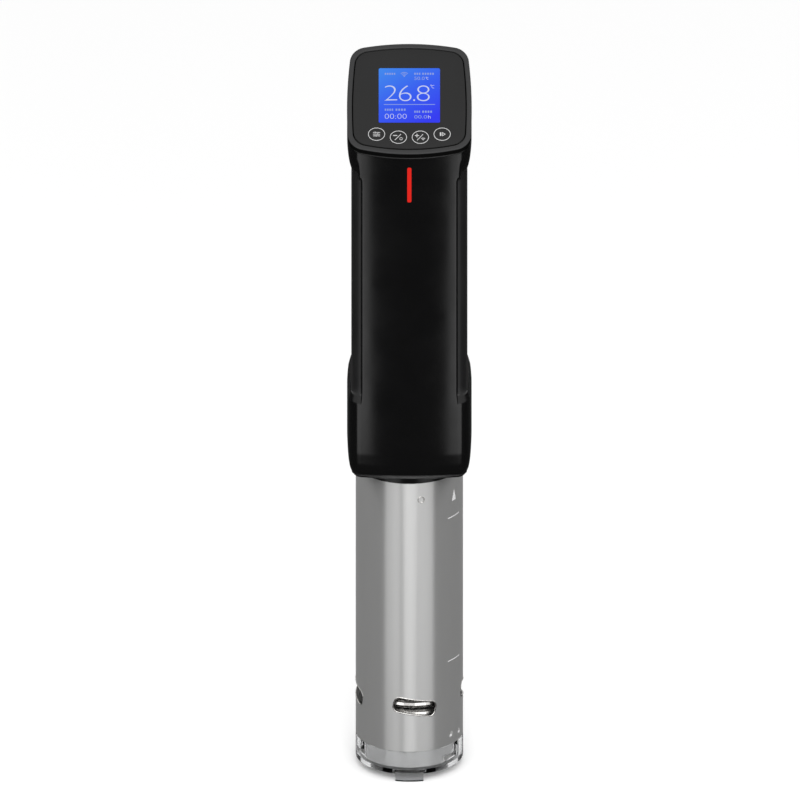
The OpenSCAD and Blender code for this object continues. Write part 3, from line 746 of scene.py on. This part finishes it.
def display_material():
    """Lit display: pale blue at its upper left, deep blue at its lower right."""
    mat, shader = new_material("display_lit")
    nodes, links = mat.node_tree.nodes, mat.node_tree.links
    where = nodes.new("ShaderNodeTexCoord")
    split = nodes.new("ShaderNodeSeparateXYZ")
    links.new(where.outputs["Object"], split.inputs[0])
    lo, hi = corner("display_window", False) * MM, corner("display_window", True) * MM
    across = nodes.new("ShaderNodeMapRange")
    across.inputs["From Min"].default_value, across.inputs["From Max"].default_value = lo[0], hi[0]
    up = nodes.new("ShaderNodeMapRange")
    up.inputs["From Min"].default_value, up.inputs["From Max"].default_value = hi[2], lo[2]
    links.new(split.outputs["X"], across.inputs["Value"])
    links.new(split.outputs["Z"], up.inputs["Value"])
    total = nodes.new("ShaderNodeMath")
    total.operation = "MULTIPLY_ADD"
    total.inputs[1].default_value = 0.42
    links.new(across.outputs[0], total.inputs[0])
    weigh = nodes.new("ShaderNodeMath")
    weigh.operation = "MULTIPLY"
    weigh.inputs[1].default_value = 0.72
    links.new(up.outputs[0], weigh.inputs[0])
    links.new(weigh.outputs[0], total.inputs[2])
    ramp = nodes.new("ShaderNodeValToRGB")
    ramp.color_ramp.elements[0].position = 0.0
    ramp.color_ramp.elements[0].color = (0.045, 0.27, 0.93, 1)
    ramp.color_ramp.elements[1].position = 1.0
    ramp.color_ramp.elements[1].color = (0.022, 0.030, 0.96, 1)
    middle = ramp.color_ramp.elements.new(0.5)
    middle.color = (0.028, 0.115, 0.95, 1)
    links.new(total.outputs[0], ramp.inputs[0])
    links.new(ramp.outputs[0], shader.inputs["Emission Color"])
    shader.inputs["Emission Strength"].default_value = 0.86
    shader.inputs["Base Color"].default_value = (0.01, 0.012, 0.03, 1)
    shader.inputs["Roughness"].default_value = 0.3
    shader.inputs["Specular IOR Level"].default_value = 0.06
    cells = noise(mat, coords(mat), 2500.0, 1.0)
    bump(mat, shader, cells, 0.05, 0.00002)
    return mat


def clear_material():
    """Clear moulded plastic with slight waviness."""
    mat, shader = new_material("clear_plastic")
    shader.inputs["Base Color"].default_value = (0.80, 0.805, 0.81, 1)
    shader.inputs["Transmission Weight"].default_value = 1.0
    shader.inputs["IOR"].default_value = 1.46
    wave = noise(mat, coords(mat), 120.0, 2.0)
    mat.node_tree.links.new(spread(mat, wave, 0.02, 0.07), shader.inputs["Roughness"])
    bump(mat, shader, wave, 0.06, 0.0001)
    return mat


def board_material():
    mat, shader = new_material("circuit_board")
    vec = coords(mat, (1, 1, 1))
    lines = noise(mat, vec, 700.0, 1.0)
    links = mat.node_tree.links
    links.new(two_tone(mat, lines, (0.01, 0.10, 0.05), (0.03, 0.22, 0.1)), shader.inputs["Base Color"])
    links.new(spread(mat, lines, 0.35, 0.55), shader.inputs["Roughness"])
    bump(mat, shader, lines, 0.2, 0.0001)
    return mat


CASING = plastic("casing_black", (0.0014, 0.0014, 0.0015), (0.0018, 0.0018, 0.0019), 0.17, 0.40, relief=0.03)
GRIP = plastic("grip_black", (0.0035, 0.0035, 0.0038), (0.005, 0.005, 0.0053), 0.45, 0.40, 900.0, 0.2)
SEAL = plastic("rubber_black", (0.008, 0.008, 0.008), (0.013, 0.013, 0.013), 0.7, 0.25, 700.0, 0.4)
# Matte near-black with almost no gloss for the wall under the panel frame: a painted shadow of the gap there
PAINTED_SHADOW = plastic("frame_painted_shadow", (0.001, 0.001, 0.001), (0.0014, 0.0014, 0.0014), 0.8, 0.02, relief=0.05)
BEZEL = plastic("frame_grey", (0.028, 0.028, 0.0285), (0.032, 0.032, 0.0325), 0.5, 0.13, 1500.0, 0.08)
PANEL = plastic("panel_grey", (0.0195, 0.0195, 0.0196), (0.0215, 0.0215, 0.0216), 0.55, 0.05, 2200.0, 0.03)
BLACK_PART = plastic("black_moulded", (0.008, 0.008, 0.008), (0.014, 0.014, 0.014), 0.5, 0.35)
PALE_PART = plastic("pale_moulded", (0.5, 0.5, 0.5), (0.6, 0.6, 0.6), 0.5, 0.4)
NYLON = plastic("natural_nylon", (0.6, 0.57, 0.47), (0.68, 0.65, 0.55), 0.45, 0.4)
STEEL = metal("brushed_steel", (0.60, 0.60, 0.595), (0.64, 0.64, 0.635), 0.42, (4, 4, 0.05), 1.0, 0.25, 0.012)
POLISHED = metal("polished_steel", (0.55, 0.54, 0.52), (0.66, 0.65, 0.63), 0.27)
MOTOR_STEEL = metal("plated_steel", (0.35, 0.35, 0.36), (0.5, 0.5, 0.52), 0.35)
ALUMINIUM = metal("plain_aluminium", (0.6, 0.6, 0.61), (0.72, 0.72, 0.73), 0.32, (0.05, 1, 1))
BRASS = metal("plated_contacts", (0.6, 0.5, 0.3), (0.8, 0.7, 0.45), 0.3)
DISPLAY = display_material()
MARK = lit("display_marks", (0.70, 0.76, 1.0), 0.86, (0.62, 0.68, 0.95))
SOFT_MARK = lit("display_soft_marks", (0.36, 0.46, 0.98), 0.75, (0.30, 0.42, 0.95))
PRINT = plastic("pale_print", (0.42, 0.42, 0.42), (0.5, 0.5, 0.5), 0.6, 0.1, 2500.0, 0.02)
LIGHT_BAR = lit("red_light", (0.80, 0.010, 0.002), 0.95, (0.74, 0.008, 0.002))
CLEAR = clear_material()
BOARD = board_material()

SLOT_MATERIALS = {
    "casing": CASING, "grip": GRIP, "seal": SEAL, "screws": MOTOR_STEEL, "bezel": BEZEL, "panel": PANEL,
    "display": DISPLAY, "electronics": PALE_PART, "contacts": BRASS, "board": BOARD, "shield_can": ALUMINIUM,
    "black_part": BLACK_PART, "light_bar": LIGHT_BAR, "winding": BRASS, "aluminium": ALUMINIUM, "gland": SEAL,
    "steel": STEEL, "heater": POLISHED, "rods": POLISHED, "motor_steel": MOTOR_STEEL, "bush": NYLON,
    "rotor": MOTOR_STEEL, "impeller": BLACK_PART, "clear_cap": CLEAR,
}


def dress_cad_nodes():
    """Every CAD node takes the material of its slot and smooth shading with edges over 32 degrees kept sharp;
    a few nodes also get softly bevelled edges.
    """
    for part in frame["record"]["subparts"]:
        obj = NODES[part["node"]]
        obj.data.materials.clear()
        obj.data.materials.append(SLOT_MATERIALS[part["material_slot"]])
        for poly in obj.data.polygons:
            poly.use_smooth = True
        obj.data.set_sharp_from_angle(angle=math.radians(32))
    for node, width in (("clip_lever", 0.5), ("clip_bracket", 0.5), ("cord_gland", 0.4), ("collar_ring", 0.15),
                        ("clip_saddle_pad", 0.4), ("clip_jaw_pad", 0.4)):
        mod = NODES[node].modifiers.new("soft_edges", "BEVEL")
        mod.width = width * MM
        mod.segments = 3
        mod.limit_method = "ANGLE"
        mod.angle_limit = math.radians(40)
        mod.harden_normals = True


# ---------------------------------------------------------------- build

def build_body():
    shell_front = casing_shell("shell_front", True, CASING)
    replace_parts(shell_front, "front_casing")
    shell_rear = casing_shell("shell_rear", False, CASING)
    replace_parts(shell_rear, "rear_casing")
    for name, sx, node in (("grip_pad_left", -1, "side_grip_left"), ("grip_pad_right", 1, "side_grip_right")):
        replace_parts(side_pad(name, sx, GRIP), node)
    casing_lip(CASING)
    light_bar(LIGHT_BAR)
    panel_frame(BEZEL)
    panel_face(PANEL)


def build_display():
    for name, text, x0, x1, y0, y1 in (
            ("reading_tens", "2", 0.087, 0.302, 0.318, 0.602),
            ("reading_units", "6", 0.330, 0.535, 0.318, 0.606),
            ("reading_point", ".", 0.562, 0.594, 0.572, 0.604),
            ("reading_tenths", "8", 0.622, 0.832, 0.318, 0.606)):
        figures(name, text, x0, x1, y0, y1, -0.026, MARK)
    figures("figures_left", "00:00", 0.098, 0.456, 0.84, 0.93, -0.02, MARK)
    figures("figures_right", "00.0", 0.58, 0.79, 0.866, 0.926, 0.0, SOFT_MARK)
    figures("figures_set", "50.0", 0.58, 0.75, 0.156, 0.216, 0.0, SOFT_MARK)

    def bar(x0, x1, y0, y1):
        a, b = lcd_point(x0, y1), lcd_point(x1, y0)
        return [a, [b[0], a[1]], b, [a[0], b[1]]]

    def curve(fx, fy, r, a0, a1, n):
        c = lcd_point(fx, fy)
        return arc_path(c[0], c[1], r, r, a0, a1, n)

    plates("display_rule", [bar(0.083, 0.92, 0.662, 0.674)], -0.115, -0.05, SOFT_MARK)
    # Unit marks: a small ring and an open curve
    quads = stroke_outline(curve(0.855, 0.315, 0.28, 0, 360, 13), 0.14)
    quads += stroke_outline(curve(0.892, 0.340, 0.78, 60, 300, 12), 0.2)
    quads += stroke_outline(curve(0.775, 0.165, 0.16, 0, 360, 9), 0.14)
    quads += stroke_outline(curve(0.80, 0.186, 0.55, 60, 300, 10), 0.2)
    quads += stroke_outline([lcd_point(0.81, 0.866), lcd_point(0.81, 0.926)], 0.24)
    quads += stroke_outline(np.concatenate([curve(0.828, 0.905, 0.5, 180, 0, 7),
                                            [lcd_point(0.845, 0.926)]]), 0.22)
    plates("display_units", quads, -0.115, -0.07, MARK)
    # Signal fan, and plain bars where the real display has small words
    quads = []
    for r in (0.85, 1.6, 2.4):
        quads += stroke_outline(curve(0.416, 0.156, r, 46, 134, 9), 0.32)
    quads += [bar(0.406, 0.426, 0.140, 0.158)]
    for x0, x1, y0, y1, count in ((0.098, 0.27, 0.086, 0.12, 5), (0.58, 0.68, 0.084, 0.12, 3),
                                  (0.71, 0.90, 0.084, 0.12, 5), (0.098, 0.235, 0.745, 0.783, 4),
                                  (0.275, 0.438, 0.745, 0.783, 4), (0.58, 0.675, 0.782, 0.82, 3),
                                  (0.71, 0.87, 0.782, 0.82, 4)):
        step = (x1 - x0) / (count - 0.35)
        for i in range(count):
            quads.append(bar(x0 + i * step, x0 + (i + 0.65) * step, y0, y1))
    plates("display_bars", quads, -0.115, -0.07, SOFT_MARK)


def build_keys():
    w0, w1 = -0.11, -0.02
    for i, (x, v) in enumerate(KEYS):
        ring_piece("key_ring_%d" % (i + 1), x, v, 4.1, 3.45, 0.3, w0, w1, PRINT)

    def icon(name, quads):
        plates(name, quads, w0, w1, PRINT)

    x, v = KEYS[0]
    # Three short lines with a knob each, a plain sign for settings
    quads = []
    for dv, knob in ((0.95, -0.7), (0.0, 0.6), (-0.95, -0.2)):
        quads += stroke_outline([(x - 1.7, v + dv), (x + 1.7, v + dv)], 0.3)
        quads.append(arc_path(x + knob, v + dv, 0.42, 0.42, 0, 324, 10))
    icon("key_icon_1", quads)
    x, v = KEYS[1]
    quads = stroke_outline([(x - 2.5, v + 0.95), (x - 0.7, v + 0.95)], 0.45)
    quads += stroke_outline([(x - 1.7, v - 1.5), (x + 1.3, v + 1.7)], 0.32)
    quads += stroke_outline(arc_path(x + 1.35, v - 0.85, 0.72, 0.62, 0, 360, 15), 0.3)
    icon("key_icon_2", quads)
    x, v = KEYS[2]
    quads = stroke_outline([(x - 2.6, v + 0.9), (x - 0.8, v + 0.9)], 0.42)
    quads += stroke_outline([(x - 1.7, v + 0.05), (x - 1.7, v + 1.75)], 0.42)
    quads += stroke_outline([(x - 1.5, v - 1.6), (x + 1.3, v + 1.6)], 0.32)
    for r in (0.6, 1.2):
        quads += stroke_outline(arc_path(x + 1.4, v - 1.5, r, r * 0.9, 40, 140, 8), 0.32)
    quads.append(arc_path(x + 1.4, v - 1.45, 0.25, 0.25, 0, 315, 8))
    icon("key_icon_3", quads)
    x, v = KEYS[3]
    quads = [[(x - 1.15, v - 0.95), (x - 0.45, v - 0.95), (x - 0.45, v + 0.95), (x - 1.15, v + 0.95)]]
    quads += stroke_outline([(x + 0.05, v - 0.95), (x + 0.05, v + 0.95)], 0.3)
    quads += stroke_outline([(x + 0.05, v + 0.95), (x + 1.5, v), (x + 0.05, v - 0.95)], 0.3)
    icon("key_icon_4", quads)


def build_sleeve_details():
    for k in range(4):
        wrapped_bead("slot_lip_%d" % (k + 1), slot_loop(k), 0.36, -0.2, POLISHED)
    # Rim of the small dimple near the collar
    a, z, r = math.radians(12.6) * TUBE_R, 154.1, 1.6
    t = np.radians(np.linspace(0, 360, 25)[:-1])
    rim = np.column_stack([a + r * np.cos(t), z + r * np.sin(t)])
    wrapped_bead("sleeve_dimple", rim, 0.26, 0.0, POLISHED, 8)
    # Level marks: a triangle and a line near the top, and one line lower down

    def strips(x0, x1, low, high, count):
        """Upright strips between two arc lengths, narrow enough to follow the sleeve."""
        xs = np.linspace(x0, x1, count + 1)
        return [[(a, low), (b, low), (b, high(b)), (a, high(a))] for a, b in zip(xs[:-1], xs[1:])]

    c, half = arc_of(22.3), 1.7
    quads = strips(c - half, c + half, 149.0, lambda x: 149.05 + 6.0 * (1 - abs(x - c) / half), 6)
    for low in (140.15, 61.95):
        quads += strips(arc_of(19.3), arc_of(24.8), low, lambda x: low + 0.5, 10)
    sleeve_marks("level_marks", quads, PRINT)
    # Open and closed padlock signs by the cap's twist lock
    quads = []
    for x, z, open_turn in ((20.75, 21.3, 60), (24.7, 20.5, 0)):
        c = arc_of(x)
        quads.append([(c - 1.0, z - 0.8), (c + 1.0, z - 0.8), (c + 1.0, z + 0.5), (c - 1.0, z + 0.5)])
        path = arc_path(c + (0.6 if open_turn else 0.0), z + 0.6, 0.65, 1.0, 0, 180 - open_turn * 0.3, 9)
        quads += stroke_outline(path, 0.26)
    sleeve_marks("lock_signs", quads, PRINT)


# ---------------------------------------------------------------- stage

ELEVATION = math.radians(24.0)
LIGHT_AIM_Z = 0.2


def build_camera():
    data = bpy.data.cameras.new("camera")
    data.type = "ORTHO"
    data.ortho_scale = 0.4
    data.clip_end = 20
    cam = bpy.data.objects.new("camera", data)
    bpy.context.scene.collection.objects.link(cam)
    target = Vector((-0.00468, 0.0, 0.19699))
    back = Vector((0.0, -math.cos(ELEVATION), math.sin(ELEVATION)))
    cam.location = target + back * 1.5
    cam.rotation_euler = (-back).to_track_quat("-Z", "Y").to_euler()
    bpy.context.scene.camera = cam


def soft_light(name, azimuth, height, distance, width, tall, power):
    """A rectangular soft light: azimuth in degrees from the front to the right, sizes in metres."""
    data = bpy.data.lights.new(name, "AREA")
    data.shape = "RECTANGLE"
    data.size, data.size_y = width, tall
    data.energy = power
    lamp = bpy.data.objects.new(name, data)
    bpy.context.scene.collection.objects.link(lamp)
    a = math.radians(azimuth)
    lamp.location = (distance * math.sin(a), -distance * math.cos(a), height)
    aim = Vector((0, 0, LIGHT_AIM_Z)) - lamp.location
    lamp.rotation_euler = aim.to_track_quat("-Z", "Y").to_euler()
    lamp.visible_camera = False
    return lamp


def floor_material():
    """Stage floor: plain white to the eye, and dim in mirror reflections so that black parts stay black."""
    mat = bpy.data.materials.new("floor_pale")
    mat.use_nodes = True
    nodes, links = mat.node_tree.nodes, mat.node_tree.links
    nodes.clear()
    out = nodes.new("ShaderNodeOutputMaterial")
    shown = nodes.new("ShaderNodeBsdfDiffuse")
    dim = nodes.new("ShaderNodeBsdfDiffuse")
    mix = nodes.new("ShaderNodeMixShader")
    path = nodes.new("ShaderNodeLightPath")
    shown.inputs[0].default_value = (0.98, 0.98, 0.98, 1)
    dim.inputs[0].default_value = (0.04, 0.04, 0.04, 1)
    mirror_only = nodes.new("ShaderNodeMath")
    mirror_only.operation = "SUBTRACT"
    mirror_only.use_clamp = True
    links.new(path.outputs["Is Glossy Ray"], mirror_only.inputs[0])
    links.new(path.outputs["Is Transmission Ray"], mirror_only.inputs[1])
    links.new(mirror_only.outputs[0], mix.inputs[0])
    links.new(shown.outputs[0], mix.inputs[1])
    links.new(dim.outputs[0], mix.inputs[2])
    links.new(mix.outputs[0], out.inputs[0])
    return mat


def build_stage():
    mesh = bpy.data.meshes.new("floor")
    s = 6.0
    mesh.from_pydata([(-s, -s, 0), (s, -s, 0), (s, s, 0), (-s, s, 0)], [], [(0, 1, 2, 3)])
    floor = bpy.data.objects.new("floor", mesh)
    bpy.context.scene.collection.objects.link(floor)
    floor.data.materials.append(floor_material())
    world = bpy.data.worlds.new("studio")
    bpy.context.scene.world = world
    world.use_nodes = True
    bpy.context.scene.view_settings.view_transform = "Standard"
    back = world.node_tree.nodes["Background"]
    back.inputs[0].default_value = (1, 1, 1, 1)
    back.inputs[1].default_value = 0.95
    soft_light("front_box", 3, 0.75, 0.8, 1.45, 0.6, 2.2)
    soft_light("front_core", 2, 0.7, 0.75, 0.42, 0.5, 3.2)
    soft_light("left_panel", -34, 0.1, 0.42, 0.24, 0.2, 0.24)
    soft_light("right_panel", 34, 0.1, 0.42, 0.24, 0.2, 0.24)


dress_cad_nodes()
build_body()
build_display()
build_keys()
build_sleeve_details()
build_camera()
build_stage()

bpy.context.view_layer.update()
